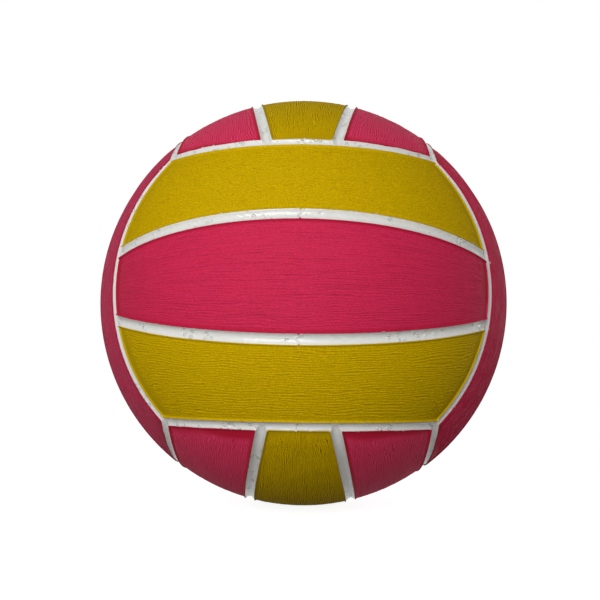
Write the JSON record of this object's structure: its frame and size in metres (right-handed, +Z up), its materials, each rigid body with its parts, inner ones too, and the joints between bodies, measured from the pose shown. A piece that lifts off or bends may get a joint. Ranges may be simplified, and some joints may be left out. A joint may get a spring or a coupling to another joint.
{
  "type": "water polo ball",
  "caption": "Inflatable water polo ball: grip panels in two colours bonded between white channels on a wound bladder, with a push-in needle valve.",
  "frame": {"origin": "centre of the ball", "axes": "+Z up, the front face looks along -Y, its panels run along X, the valve points along +Y"},
  "size_m": [0.21, 0.2099, 0.21],
  "materials": {
    "yellow_rubber": "matt, fine grip ridges",
    "pink_rubber": "matt, fine grip ridges",
    "white_rubber": "glossy",
    "nylon_thread": "wound and cemented",
    "butyl": "satin",
    "valve_rubber": "satin"
  },
  "bodies": {
    "ball": {"front_upper_panel": "yellow_rubber", "front_middle_panel": "pink_rubber", "front_lower_panel": "yellow_rubber", "back_upper_panel": "yellow_rubber", "back_middle_panel": "pink_rubber", "back_lower_panel": "yellow_rubber", "right_front_panel": "pink_rubber", "right_middle_panel": "yellow_rubber", "right_rear_panel": "pink_rubber", "left_front_panel": "pink_rubber", "left_middle_panel": "yellow_rubber", "left_rear_panel": "pink_rubber", "top_left_panel": "pink_rubber", "top_middle_panel": "yellow_rubber", "top_right_panel": "pink_rubber", "bottom_left_panel": "pink_rubber", "bottom_middle_panel": "yellow_rubber", "bottom_right_panel": "pink_rubber", "web": "white_rubber", "nylon_winding": "nylon_thread", "bladder": "butyl", "valve_seat": "butyl"},
    "valve": {"valve_plug": "valve_rubber"}
  },
  "joints": [
    {"name": "valve_pull", "type": "slide", "parent": "ball", "child": "valve", "axis": [0, 1, 0], "range_m": [0, 0.018]}
  ]
}
